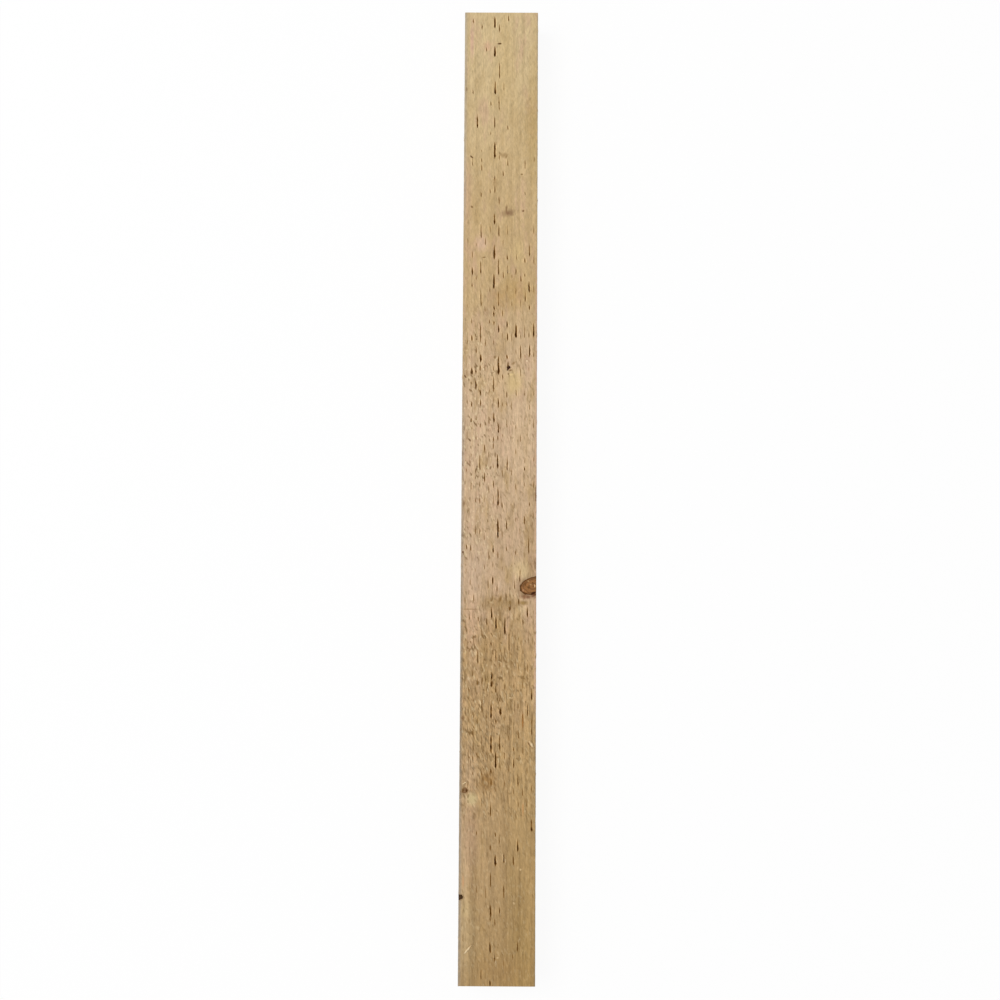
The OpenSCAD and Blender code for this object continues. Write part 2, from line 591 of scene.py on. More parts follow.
# Rosy, pale and brown patches of the wood, which lie under its grain; the band just below the big knot is
# partly painted shade
PATCHES = (
    Mark(-30, 30, 2.5, 22, (212, 172, 148), 0.8),
    Mark(-14, 36, 5, 7, (214, 174, 140), 0.8),
    Mark(-34, 190, 6, 45, (200, 164, 132), 0.5),
    Mark(30, 120, 10, 45, (188, 158, 106), 0.6),
    Mark(-19, 242, 7, 10, (214, 180, 152), 0.8),
    Mark(18, 250, 9, 16, (208, 180, 130), 0.7),
    Mark(14, 292, 18, 20, (184, 150, 96), 0.6),
    Mark(-2, 300, 12, 16, (176, 140, 92), 0.4),
    Mark(14, 384, 12, 16, (214, 186, 134), 0.8),
    Mark(22, 572, 12, 12, (212, 186, 138), 0.7),
    Mark(31, 535, 6, 28, (174, 142, 96), 0.6),
    Mark(33, 566, 5, 14, (168, 132, 96), 0.6),
    Mark(34, 110, 7, 105, (190, 162, 108), 0.5),
    Mark(-33, 880, 6, 105, (212, 182, 140), 0.65, 0.8),
    Mark(36, 690, 3, 80, (202, 168, 122), 0.5),
    Mark(4, 60, 14, 60, (200, 173, 124), 0.6),
    Mark(-24, 572, 14, 64, (202, 174, 146), 0.7),
    Mark(0, 351, 7, 7, (168, 136, 94), 0.3),
    Mark(-2, 386, 13, 30, (214, 182, 142), 0.6),
    Mark(-28, 768, 10, 28, (196, 164, 128), 0.6),
    Mark(22, 440, 15, 45, (218, 188, 152), 0.6),
    Mark(24, 800, 14, 90, (190, 158, 110), 0.5),
    Mark(-30, 930, 12, 50, (196, 168, 124), 0.6),
    Mark(0, 605, 24, 9, (164, 132, 86), 0.65),
    Mark(-6, 640, 12, 30, (176, 142, 98), 0.4),
    Mark(24, 611, 8, 5, (212, 184, 142), 0.7),
    Mark(16, 616, 5, 7, (208, 176, 134), 0.6),
    Mark(1, 587, 4, 6, (222, 192, 160), 0.6),
    Mark(-27, 632, 9, 40, (200, 164, 132), 0.6),
    # A rosy-brown band just below the big knot: a stain of the wood, darkened further as painted shade
    # beneath the knot
    Mark(28, 598.5, 7.5, 2.6, (154, 112, 86), 0.9, 0.7),
    Mark(25, 604.5, 5.5, 2.4, (154, 122, 66), 0.75, 0.8),
    Mark(20, 670, 12, 40, (190, 156, 112), 0.5),
    Mark(-10, 778, 10, 13, (152, 114, 66), 0.8),
    Mark(-25, 797, 6, 7, (208, 186, 138), 0.9, 0.7),
    Mark(-27, 832, 11, 46, (192, 158, 126), 0.6),
    Mark(-31, 902, 5, 10, (208, 180, 132), 0.8),
    Mark(4, 960, 30, 20, (160, 126, 80), 0.5),
)
# Smudges, stains, dashes and pale flecks on top of the grain and the knots, and one painted shadow beside a
# splinter
MARKS = (
    Mark(8, 210, 7.6, 4.2, (122, 86, 62), 0.8, 1.0, 12),
    Mark(6, 205, 1.4, 4, (116, 82, 48), 0.7),
    Mark(3, 150, 5, 3, (150, 118, 74), 0.6),
    Mark(-1, 148, 1.2, 2, (134, 104, 60), 0.7, 0.8, 30),
    Mark(5.5, 152, 1.2, 2.4, (140, 108, 64), 0.7, 0.8, -20),
    Mark(-6, 178, 3, 6, (158, 124, 78), 0.5),
    Mark(10.8, 371.6, 2.4, 1.2, (128, 94, 54), 0.85, 0.8, 18),
    Mark(13.7, 364.4, 3.6, 1.5, (150, 118, 76), 0.75, 0.9, 34),
    Mark(8.4, 365.6, 1.1, 3, (120, 88, 46), 0.85, 0.7, -6),
    Mark(8.2, 370.6, 1.1, 1.8, (62, 28, 14), 0.9, 0.6, -30),
    Mark(11.8, 375.8, 2.2, 1.5, (232, 204, 148), 0.9, 0.7, 12),
    Mark(-28.6, 793.7, 1, 2.4, (122, 94, 52), 0.85, 0.6, -8),
    Mark(-1.9, 33, 2.6, 1.1, (92, 58, 22), 0.95, 0.5, 6),
    Mark(-16.5, 256, 2.6, 0.6, (124, 88, 44), 0.85, 0.5, 4),
    Mark(-29.6, 152, 2.4, 0.9, (92, 58, 26), 0.9, 0.5, -42),
    Mark(-34.5, 378, 2.2, 0.9, (106, 72, 34), 0.85, 0.5, -58),
    Mark(-30, 442, 2.6, 0.9, (102, 70, 34), 0.85, 0.5, -48),
    Mark(-29, 204, 1.8, 1.2, (116, 82, 42), 0.8, 0.6, -40),
    Mark(23, 208, 1.4, 1.6, (116, 82, 42), 0.8, 0.6, -30),
    Mark(24.5, 720, 1.0, 10, (168, 112, 54), 0.85, 0.8),
    Mark(25, 806, 0.9, 8, (206, 152, 96), 0.75, 0.8),
    Mark(8.7, 375.2, 0.9, 1.5, (118, 88, 36), 0.85, 0.6),
    # Painted shadow: dark brown on the left side of the splinter that lies near the right arris
    Mark(30.8, 743, 0.9, 3.6, (112, 76, 40), 0.75, 0.6, 36),
    Mark(-33.6, 787.7, 1.2, 2, (104, 72, 34), 0.85, 0.7),
    Mark(-30.3, 788.3, 1.1, 1.8, (82, 50, 16), 0.95, 0.6),
    Mark(34.6, 594.8, 3.4, 1.4, (58, 28, 6), 0.95, 0.5, 20),
    Mark(26.6, 586.3, 1, 2.2, (112, 72, 34), 0.85, 0.7, 15),
    Mark(29.6, 589, 2, 0.8, (108, 72, 32), 0.85, 0.7, -15),
    Mark(33.8, 584.6, 0.9, 1, (98, 64, 24), 0.9, 0.6),
    Mark(34.5, 588, 0.8, 1.2, (98, 64, 24), 0.9, 0.6),
    Mark(29.5, 583, 1.1, 1, (180, 142, 96), 0.85, 0.7),
    Mark(31.8, 586.4, 1.4, 0.9, (186, 148, 100), 0.85, 0.7),
    Mark(35.9, 587.5, 0.8, 1.6, (222, 184, 140), 0.9, 0.6),
    Mark(24.6, 592, 1.4, 1.6, (184, 134, 92), 0.85, 0.8),
    Mark(34.3, 597.6, 1.8, 1.4, (130, 88, 62), 0.85, 0.7),
    Mark(25.2, 599, 0.7, 3, (134, 96, 62), 0.85, 0.7),
    Mark(27.4, 362, 1, 1.1, (240, 216, 178), 0.9, 0.6),
    Mark(13.3, 698, 3, 0.8, (228, 198, 150), 0.85, 0.6),
    Mark(1, 948, 1.4, 0.9, (214, 184, 138), 0.85, 0.6, 10),
    Mark(22.8, 864, 1.3, 1.3, (216, 186, 136), 0.85, 0.6),
    Mark(16.6, 896, 1, 1.6, (212, 182, 136), 0.8, 0.6, 20),
    Mark(5.7, 852, 0.7, 4.5, (222, 194, 148), 0.85, 0.6),
    Mark(-28, 611, 10, 0.6, (146, 112, 72), 0.6, 0.5),
    Mark(-33, 876, 1.2, 8, (208, 160, 116), 0.75, 0.8),
    Mark(-35.6, 554.5, 1, 1.2, (92, 60, 28), 0.9, 0.5),
    Mark(36.5, 497, 0.8, 9, (112, 80, 52), 0.8, 0.6),
    Mark(36.2, 566, 0.9, 6.5, (130, 102, 72), 0.8, 0.6),
    Mark(-35.3, 81, 1.1, 2.4, (150, 126, 94), 0.8, 0.6),
    Mark(-8.6, 470, 1.2, 2.2, (138, 108, 78), 0.85, 0.6, -20),
    Mark(7.6, 599, 1.3, 6.5, (122, 92, 52), 0.85, 0.8, 4),
    Mark(-6.3, 601, 1.1, 3.2, (134, 102, 58), 0.8, 0.8),
    Mark(1.8, 601, 1.6, 3.6, (138, 106, 62), 0.8, 0.8, -20),
    Mark(11.4, 604, 1.7, 3.4, (132, 102, 54), 0.8, 0.8),
    Mark(20.2, 604, 1, 4, (132, 98, 60), 0.8, 0.7),
    Mark(-25.8, 601, 1.3, 1.4, (226, 200, 164), 0.85, 0.6),
    Mark(-20.4, 609, 1.2, 1.4, (214, 186, 146), 0.85, 0.6),
    Mark(-14.6, 777, 1.6, 4.4, (126, 94, 52), 0.8, 0.8),
    Mark(-35, 506, 1.6, 3.4, (138, 108, 74), 0.8, 0.8),
    Mark(-34.4, 718, 1.8, 3.4, (132, 98, 62), 0.75, 0.8),
    Mark(-4, 457, 0.9, 3.4, (138, 108, 72), 0.8, 0.6),
    Mark(-4.9, 358.5, 1.4, 2, (134, 104, 62), 0.8, 0.7),
    Mark(21.4, 170, 1.4, 1, (126, 96, 48), 0.8, 0.6),
    Mark(-24.8, 796, 5, 6, (208, 186, 138), 0.75),
    Mark(14, 384, 8, 12, (210, 182, 132), 0.5),
    Mark(-5.7, 676, 1.5, 3.2, (84, 52, 14), 0.85, 0.7),
    Mark(-5.4, 683.5, 1.2, 2.8, (98, 66, 26), 0.85, 0.7),
    Mark(11.8, 609.5, 1, 2.8, (92, 60, 24), 0.9, 0.7),
    Mark(-23.4, 340, 1.2, 1.2, (124, 94, 54), 0.85, 0.7),
)

# Tone of the sawn faces from head to foot: share of the length and display colour
TONES = (
    (0.02, (210, 186, 142)),
    (0.27, (200, 171, 126)),
    (0.44, (209, 180, 146)),
    (0.57, (202, 172, 138)),
    (0.68, (184, 152, 109)),
    (0.88, (181, 150, 108)),
    (1.00, (172, 141, 96)),
)
# Drifts of that tone, flecks and worn edges, and the slits
ROSE = (205, 168, 140)
OLIVE = (176, 144, 89)
CREAM = (236, 214, 172)
UMBER = (114, 84, 42)
# The slits' brown and near black are partly painted shade inside them, darkest where a slit is deep
SLIT_BROWN = (140, 102, 50)
SLIT_SHADE_DARK = (84, 46, 4)
ARRIS_GREY = (166, 148, 120)
ARRIS_ROSE = (226, 184, 158)
FIBRE_TONES = ((214, 182, 136), (236, 212, 170))
# Cut ends: a year's growth from its pale start to its dark end, blotches, checks and the soaked rind
RING_TONES = ((0.0, (206, 174, 124)), (0.5, (194, 158, 106)), (0.86, (140, 100, 56)), (1.0, (168, 130, 82)))
BLOTCH_BROWN = (156, 126, 76)
CHECK_DARK = (84, 56, 28)
RIND_OLIVE = (142, 116, 64)
# Zones by distance from the head end: where a zone is nothing and where it is full. Of four numbers, the last
# two are where it starts to end and where it is over
ROSY_ZONE = (800.0, 560.0)
MIDDLE_ZONE = (240.0, 380.0, 640.0, 800.0)
OLIVE_FOOT_ZONE = (620.0, 900.0)
TORN_ZONE = (230.0, 400.0)
FOOT_ZONE = (780.0, 870.0)
COARSE_ZONE = (560.0, 660.0)
UNCALMED_ZONE = (850.0, 740.0)
SCRATCHED_ZONE = (330.0, 230.0)
SPECKLED_ZONE = (310.0, 350.0, 545.0, 590.0)
COMBED_ZONE = (670.0, 710.0, 790.0, 820.0)
GREY_ARRIS_ZONE = (480.0, 640.0)
ROSY_ARRIS_ZONE = (230.0, 300.0, 690.0, 720.0)
LIGHTER_LEFT_EDGE_ZONE = (190.0, 240.0, 380.0, 440.0)


def sawn_tone(nodes, place, x, from_head):
    """Main colour of the faces: it runs along the length, and drifts in patches between rosy and olive."""
    drift = nodes.minus(nodes.noise(place, (0.03, 0.009, 0.03), 2), 0.5)
    along = nodes.over(nodes.plus(from_head, nodes.times(drift, 120.0)), stud_length)
    tone = nodes.ramp(along, TONES)
    patches = nodes.noise(place, (0.1, 0.028, 0.1), 3, 0.6)
    rosy = nodes.times(nodes.step(patches, 0.5, 0.72), nodes.step(from_head, *ROSY_ZONE), 0.5)
    tone = nodes.mix(rosy, tone, ROSE)
    middle = nodes.hump(from_head, *MIDDLE_ZONE)
    olive = nodes.times(nodes.step(patches, 0.5, 0.28), nodes.plus(0.25, nodes.times(middle, 0.25)))
    tone = nodes.mix(olive, tone, OLIVE)
    foot = nodes.step(from_head, *OLIVE_FOOT_ZONE)
    return nodes.mix(nodes.times(foot, nodes.step(x, -6.0, 30.0), 0.55), tone, OLIVE)


# Torn flecks to the millimetre, across and along the grain
FLECK_SCALE = (0.42, 0.17, 0.42)


def sheared(nodes, place, y, lean):
    """A place moved sideways by a share of its length along the stud, so that grain drawn there leans."""
    return nodes.vector("ADD", place, nodes.add("ShaderNodeCombineXYZ", (nodes.times(y, lean), 0.0, 0.0)))


def torn_grain(nodes, colour, grain, x, y, from_head):
    """Streaks, tufts and fibres laid over a colour, with dark and pale flecks where the saw tore the wood,
    and a painted highlight beside each dark fleck.

    The head third is smoother, with faint scratches aslant. Past its end the left side is speckled, and it
    is combed aslant further on. The flecks lie in rows across the face, where the saw's teeth caught.
    """
    foot = nodes.step(from_head, *FOOT_ZONE)
    torn = nodes.times(nodes.step(from_head, *TORN_ZONE), nodes.minus(1.0, nodes.times(foot, 0.7)))
    calmer = nodes.plus(0.25, nodes.times(nodes.step(from_head, *UNCALMED_ZONE), 0.75))
    coarse = nodes.times(nodes.step(from_head, *COARSE_ZONE), calmer)
    speckled = nodes.times(nodes.hump(from_head, *SPECKLED_ZONE), nodes.step(x, 4.0, -14.0))
    combed = nodes.times(nodes.hump(from_head, *COMBED_ZONE), nodes.step(x, 6.0, -8.0))
    slanted = sheared(nodes, grain, y, 0.1)
    steep = sheared(nodes, grain, y, 0.5)
    broad = nodes.noise(grain, (0.2, 0.006, 0.2), 3)
    streaks = nodes.noise(grain, (0.5, 0.03, 0.5), 3, 0.6)
    tufts = nodes.noise(slanted, (0.42, 0.14, 0.42), 3, 0.6)
    fibres = nodes.noise(slanted, (0.85, 0.17, 0.85), 2, 0.6)
    ripples = nodes.noise(steep, (0.55, 0.12, 0.55), 2, 0.5)
    scratches = nodes.noise(sheared(nodes, grain, y, -0.7), (0.3, 0.03, 0.3), 2, 0.5)
    right = nodes.step(x, -2.0, 16.0)
    streak_weight = nodes.plus(0.3, nodes.times(coarse, nodes.plus(0.5, nodes.times(right, 0.4))))
    rougher = nodes.times(coarse, nodes.minus(1.0, nodes.times(right, 0.6)))
    tuft_weight = nodes.plus(0.3, nodes.times(torn, 0.2), nodes.times(rougher, 0.5))
    fibre_weight = nodes.plus(0.55, nodes.minus(nodes.times(coarse, 0.35), nodes.times(foot, 0.25)))
    broad_weight = nodes.plus(0.12, nodes.times(torn, 0.13), nodes.times(foot, 0.48))
    weights = (
        (broad, broad_weight),
        (streaks, streak_weight),
        (tufts, tuft_weight),
        (fibres, fibre_weight),
        (ripples, nodes.times(combed, 1.1)),
        (scratches, nodes.times(nodes.step(from_head, *SCRATCHED_ZONE), 0.25)),
    )
    colour = nodes.shade(colour, *weights)
    leaning = sheared(nodes, grain, y, 0.25)
    flecks = nodes.noise(leaning, FLECK_SCALE, 1)
    beside = nodes.noise(nodes.vector("SUBTRACT", leaning, (1.1, 0.0, 1.1)), FLECK_SCALE, 1)
    rows = nodes.step(nodes.noise(grain, (0.012, 0.1, 0.012), 1), 0.4, 0.6)
    patchy = nodes.times(nodes.plus(speckled, rougher), 0.3)
    share = nodes.plus(0.12, nodes.times(torn, 0.2), patchy)
    share = nodes.times(share, nodes.plus(0.55, nodes.times(rows, 0.65)))
    # Painted highlight: a pale copy of the dark torn flecks, moved 1.1 mm along X and Z, on the lit side of
    # each
    colour = nodes.mix(nodes.times(nodes.step(beside, 0.42, 0.3), share, 0.5), colour, CREAM)
    colour = nodes.mix(nodes.times(nodes.step(flecks, 0.42, 0.3), share), colour, UMBER)
    lines = nodes.noise(grain, (0.75, 0.06, 0.75), 1)
    lined = nodes.plus(0.08, nodes.times(torn, 0.2), nodes.times(coarse, 0.3))
    colour = nodes.mix(nodes.times(nodes.step(lines, 0.4, 0.3), lined), colour, UMBER)
    chips = nodes.noise(slanted, (0.55, 0.2, 0.55), 1)
    pale = nodes.plus(0.12, nodes.times(speckled, 0.4))
    colour = nodes.mix(nodes.times(nodes.step(chips, 0.6, 0.72), pale), colour, CREAM)
    height = nodes.plus(nodes.times(fibres, 0.2), nodes.times(tufts, 0.35), nodes.times(flecks, 0.5))
    return colour, height


def bowed_grain(nodes, x, y, z):
    """Place in the grain: beside some knots the fibres bow aside, most at the heart and less further off."""
    for knot in BOWED_KNOTS:
        along = nodes.over(nodes.minus(y, half_length - knot.from_head), knot.radius * 1.6)
        near = nodes.math("EXPONENT", nodes.times(along, along, -1.0))
        aside = nodes.over(nodes.minus(x, knot.x), knot.radius * 1.5)
        fade = nodes.math("EXPONENT", nodes.times(nodes.math("ABSOLUTE", aside), -1.4))
        push = nodes.times(near, nodes.math("TANH", nodes.times(aside, 1.5)), fade, knot.radius * 0.4)
        x = nodes.minus(x, push)
    return nodes.add("ShaderNodeCombineXYZ", (x, y, z))


def ring_phase(nodes, place, x, z):
    """Share of a year's growth, 0 at its pale start and 1 at its dark end, from the distance to the pith."""
    wobble = nodes.noise(place, (0.03, 0.004, 0.03), 2)
    aside, above = nodes.minus(x, PITH[0]), nodes.minus(z, PITH[1])
    distance = nodes.math("SQRT", nodes.plus(nodes.times(aside, aside), nodes.times(above, above)))
    distance = nodes.plus(distance, nodes.times(nodes.math("SINE", nodes.times(distance, 0.3)), YEARS_UNLIKE))
    return nodes.math("FRACT", nodes.over(nodes.plus(distance, nodes.times(wobble, 9.0)), RING_SPACING))


def knot_layer(nodes, colour, place, knot, rough):
    """A knot laid over a colour: rings round its heart line inside, a dark rim, and a stained edge outside.

    A place's share is its distance from the heart line, as a share of the radius there. The radius grows
    evenly along the line from nothing at the pith.
    """
    start = Vector((PITH[0], half_length - knot.from_head - knot.climb, PITH[1]))
    heart = Vector((knot.x, half_length - knot.from_head, knot.z)) - start
    offset = nodes.vector("SUBTRACT", place, start)
    along = nodes.math("MAXIMUM", nodes.dot(offset, heart.normalized()), 1.0)
    wide = Vector((math.cos(math.radians(knot.tilt)), math.sin(math.radians(knot.tilt)), 0))
    inward = wide * (1 - 1 / knot.spread)
    squash = {0: inward, "Scale": nodes.dot(offset, wide)}
    squashed = nodes.vector("SUBTRACT", offset, nodes.add("ShaderNodeVectorMath", squash, operation="SCALE"))
    line = heart - inward * heart.dot(wide)
    reached = nodes.dot(squashed, line.normalized())
    aside = nodes.minus(nodes.dot(squashed, squashed), nodes.times(reached, reached))
    share = nodes.over(nodes.times(nodes.math("SQRT", aside), heart.length / knot.radius), along)
    share = nodes.plus(share, nodes.times(nodes.minus(rough, 0.5), knot.ragged * 3))
    rings = nodes.math("SINE", nodes.plus(nodes.times(share, 15.0), nodes.times(rough, 6.0)))
    heartwood = nodes.mix(nodes.step(rings, -0.4, 1.0), knot.heart, [c * 0.78 for c in knot.heart])
    heartwood = nodes.shade(heartwood, (rough, 0.8))
    colour = nodes.mix(nodes.times(nodes.step(share, 1.6, 1.0), 0.35), colour, UMBER)
    colour = nodes.mix(nodes.step(share, 1.03, 0.97), colour, heartwood)
    rim = nodes.hump(share, 0.85, 0.93, 1.0, 1.06)
    return nodes.mix(nodes.times(rim, 0.9), colour, knot.rim)


def mark_layer(nodes, colour, place, mark, ragged):
    """A mark laid over a colour.

    A place's reach is its distance from the mark's middle, as a share of the half sizes. It is 1 on the
    ellipse, noise makes it ragged, and the mark fades over it.
    """
    turn = math.radians(mark.turn)
    axes = (
        Vector((math.cos(turn), math.sin(turn), 0)) / mark.across,
        Vector((-math.sin(turn), math.cos(turn), 0)) / mark.along,
        Vector((0, 0, 1 / MARK_DEPTH)),
    )
    centre = Vector((mark.x, half_length - mark.from_head, thickness))
    scaled = nodes.add("ShaderNodeCombineXYZ", [nodes.dot(place, axis) for axis in axes])
    reach = nodes.vector("DISTANCE", scaled, [centre.dot(axis) for axis in axes], 1)
    inputs = (nodes.plus(reach, ragged), 1.0 - mark.soft, 1.0 + mark.soft / 3, mark.share, 0.0)
    faded = nodes.add("ShaderNodeMapRange", inputs, interpolation_type="SMOOTHSTEP")
    return nodes.mix(faded, colour, mark.colour)


def end_grain(nodes, place, x, z, phase):
    """Colour of a cut end: pale and dark wood of each ring, rays and checks from the pith, and saw scratches.

    A rind of preservative, as deep as the incising let it soak in, is darker.
    """
    colour = nodes.ramp(phase, RING_TONES)
    blotches = nodes.noise(place, (0.06, 0.06, 0.06), 3)
    colour = nodes.mix(nodes.times(nodes.step(blotches, 0.45, 0.7), 0.35), colour, BLOTCH_BROWN)
    bearing = nodes.math("ARCTAN2", nodes.minus(x, PITH[0]), nodes.minus(z, PITH[1]))
    outward = nodes.plus(nodes.math("ABSOLUTE", nodes.minus(x, PITH[0])), z)
    rays = nodes.noise(nodes.add("ShaderNodeCombineXYZ", (bearing, outward, 0.0)), (60.0, 0.05, 1.0), 2)
    checks = nodes.noise(nodes.add("ShaderNodeCombineXYZ", (bearing, outward, 5.0)), (11.0, 0.02, 1.0), 1)
    colour = nodes.mix(nodes.times(nodes.hump(checks, 0.655, 0.67, 0.68, 0.695), 0.85), colour, CHECK_DARK)
    aslant = nodes.plus(nodes.times(x, 0.35), z)
    saw = nodes.noise(nodes.add("ShaderNodeCombineXYZ", (aslant, x, 0.0)), (0.4, 0.012, 1.0), 3, 0.6)
    pores = nodes.noise(place, (1.4, 0.2, 1.4), 3, 0.7)
    beside = nodes.minus(half_width, nodes.math("ABSOLUTE", x))
    above = nodes.math("MINIMUM", z, nodes.minus(thickness, z))
    rind = nodes.plus(nodes.math("MINIMUM", beside, above), nodes.times(nodes.minus(blotches, 0.5), 14.0))
    colour = nodes.mix(nodes.times(nodes.step(rind, 8.0, 2.5), 0.4), colour, RIND_OLIVE)
    return nodes.shade(colour, (pores, 0.6), (rays, 0.3), (saw, 1.6))


def arris_colours(nodes, colour, x, z, from_head, rough):
    """The worn arrises laid over a colour: a little grey all round, and patchy where rough says so.

    Along the upper face, the left arris is greyer towards the foot, and the face is darker and less saturated
    at its left edge, less so over a stretch near the head. The right arris is rosy for a stretch.
    """
    worn = nodes.times(nodes.step(nodes.attribute("wear"), 0.45, 0.95), nodes.step(rough, 0.3, 0.6))
    upper = nodes.step(z, thickness - 2.0, thickness - 0.4)
    grey = nodes.times(nodes.step(from_head, *GREY_ARRIS_ZONE), nodes.step(x, 0.0, -30.0), upper, 0.5)
    colour = nodes.mix(nodes.times(worn, nodes.plus(grey, 0.25)), colour, ARRIS_GREY)
    rosy = nodes.times(nodes.hump(from_head, *ROSY_ARRIS_ZONE), nodes.step(x, 30.0, 36.0))
    colour = nodes.mix(nodes.times(worn, rosy, upper, 0.6), colour, ARRIS_ROSE)
    less = nodes.times(nodes.hump(from_head, *LIGHTER_LEFT_EDGE_ZONE), 0.8)
    # Darker and less saturated along the upper face's left edge, less so over one stretch near the head
    darker_left_edge = nodes.times(nodes.step(x, 4.0 - half_width, 0.5 - half_width), upper, nodes.minus(1.0, less))
    inputs = {
        "Color": colour,
        "Saturation": nodes.minus(1.0, nodes.times(darker_left_edge, 0.2)),
        "Value": nodes.minus(1.0, nodes.times(darker_left_edge, 0.17)),
    }
    return nodes.add("ShaderNodeHueSaturation", inputs)


def slit_colours_and_shade(nodes, colour):
    """The knife slits laid over a colour: paler lips beside each, partly raised fibres and partly a painted
    highlight, and brown to near black by its depth, partly its torn walls and partly painted shade in the
    slit.

    aside is the distance from the middle of the nearest knife column, in millimetres.
    """
    strength = nodes.attribute("slit_strength")
    count = nodes.plus(nodes.attribute("knife_across"), 0.5)
    aside = nodes.times(nodes.minus(nodes.math("FRACT", count), 0.5), COLUMN_PITCH)
    # Painted highlight on both lips of each slit, partly raised fibres, a little further out on the right and
    # stronger for stronger slits
    flank = nodes.hump(nodes.math("ABSOLUTE", nodes.minus(aside, 0.35)), 0.7, 1.0, 1.5, 2.2)
    paler = nodes.plus(1.0, nodes.times(flank, strength, strength, 0.36))
    colour = nodes.add("ShaderNodeHueSaturation", {"Color": colour, "Value": paler})
    # Painted shade in the slits: brown where a slit has any depth and near black where it is deep, partly the
    # brown of its torn walls
    depth = nodes.attribute("slit_depth")
    colour = nodes.mix(nodes.times(nodes.step(depth, 0.0, 0.5), 0.92), colour, SLIT_BROWN)
    return nodes.mix(nodes.times(nodes.step(depth, 0.7, 2.2), 0.95), colour, SLIT_SHADE_DARK)


def timber_material():
    """Rough-sawn, treated softwood: tone, rings, patches, grain, wear, knots, marks, slits and cut ends."""
    material, nodes = new_material("incised_softwood")
    place = nodes.place()
    x, y, z = nodes.split(place)
    from_head = nodes.minus(half_length, y)
    grain = bowed_grain(nodes, x, y, z)
    rough = nodes.noise(place, (0.3, 0.25, 0.3), 3, 0.6)
    colour = sawn_tone(nodes, place, x, from_head)
    phase = ring_phase(nodes, grain, x, z)
    colour = nodes.mix(nodes.times(nodes.step(phase, 0.45, 0.95), 0.14), colour, UMBER)
    ragged = nodes.times(nodes.minus(rough, 0.5), 0.9)
    for patch in PATCHES:
        colour = mark_layer(nodes, colour, place, patch, ragged)
    colour, height = torn_grain(nodes, colour, grain, x, y, from_head)
    colour = arris_colours(nodes, colour, x, z, from_head, rough)
    for knot in KNOTS:
        colour = knot_layer(nodes, colour, place, knot, rough)
    for mark in MARKS:
        colour = mark_layer(nodes, colour, place, mark, ragged)
    colour = slit_colours_and_shade(nodes, colour)
    colour = nodes.mix(nodes.attribute("cut_end"), colour, end_grain(nodes, place, x, z, phase))

    bump = nodes.add("ShaderNodeBump", {"Strength": 0.8, "Distance": MM, "Height": height})
    show_wood(nodes, colour, bump)
    return material


# A loose splinter on the upper face: the places of its two ends, x and from the head, and half its width
Splinter = namedtuple("Splinter", "start end half_width")
SPLINTERS = (
    Splinter((30.2, 738.6), (35.8, 747.2), 1.6),
    Splinter((-32, 945), (-23.6, 935), 1.2),
    Splinter((-34.8, 782.4), (-30.2, 779.4), 0.6),
    Splinter((5.5, 848), (5.9, 856), 0.45),
    Splinter((10.5, 697.6), (16.2, 698.4), 0.5),
)
# How deep a splinter's one end is sunk, and how high its other end is lifted
SPLINTER_SUNK = 0.1
SPLINTER_LIFT = 0.5
# Fibres torn up beside slits: how many on each face, their lengths, half widths, lifts and turns in degrees,
# how far aside of the slit's lip they start, how deep that start is sunk, and their room to the cut ends
FIBRES_PER_FACE = 70
FIBRE_LENGTHS = (3, 8)
FIBRE_HALF_WIDTHS = (0.16, 0.34)
FIBRE_LIFTS = (0.1, 0.7)
FIBRE_TURN = 9
FIBRE_ASIDE = (-0.1, 0.3)
FIBRE_SUNK = 0.15
FIBRE_END_ROOM = 8
# Slits deeper than this have torn fibres
TORN_SLIT_DEPTH = FAINT.depth * 1.2
# Where a sliver's rings stand along it, how wide they are, and its thickness as a share of its width
SLIVER_RINGS = ((0.2, 0.75), (0.5, 1.0), (0.8, 0.6))
SLIVER_FLATNESS = 0.6


def sliver(start, end, aside, outward):
    """Points and faces of a sliver from start to end: rings of four points, and a tip at both ends.

    aside and outward are its half width and half thickness, as vectors.
    """
    points = [start]
    for share, size in SLIVER_RINGS:
        middle = start + (end - start) * share
        points += [middle + way * size for way in (aside, outward, -aside, -outward)]
    points.append(end)
    last = len(points) - 1
    faces = []
    for n in range(4):
        near, far = 1 + n, 1 + (n + 1) % 4
        faces += [(0, near, far), (last, last - 4 + (n + 1) % 4, last - 4 + n)]
        for ring in range(0, 4 * len(SLIVER_RINGS) - 4, 4):
            faces.append((near + ring, near + ring + 4, far + ring + 4, far + ring))
    return points, faces


def sliver_piece(name, slivers, material):
    """One mesh of many slivers, each given as its points and faces."""
    points, faces = [], []
    for own_points, own_faces in slivers:
        faces += [tuple(corner + len(points) for corner in face) for face in own_faces]
        points += own_points
    return mesh_piece(name, np.array(points), faces, material)


def loose_splinters(material):
    """The splinters that lie on the upper face, sunk into it at one end and lifted at the other."""
    slivers = []
    for splinter in SPLINTERS:
        (x0, head0), (x1, head1) = splinter.start, splinter.end
        start = np.array([x0, half_length - head0, thickness - SPLINTER_SUNK])
        end = np.array([x1, half_length - head1, thickness + SPLINTER_LIFT])
        along = (end - start) / np.linalg.norm(end - start)
        aside = np.cross(along, (0, 0, 1)) * splinter.half_width
        thick = np.array([0, 0, splinter.half_width * SLIVER_FLATNESS])
        slivers.append(sliver(start, end, aside, thick))
    return sliver_piece("loose_splinters", slivers, material)


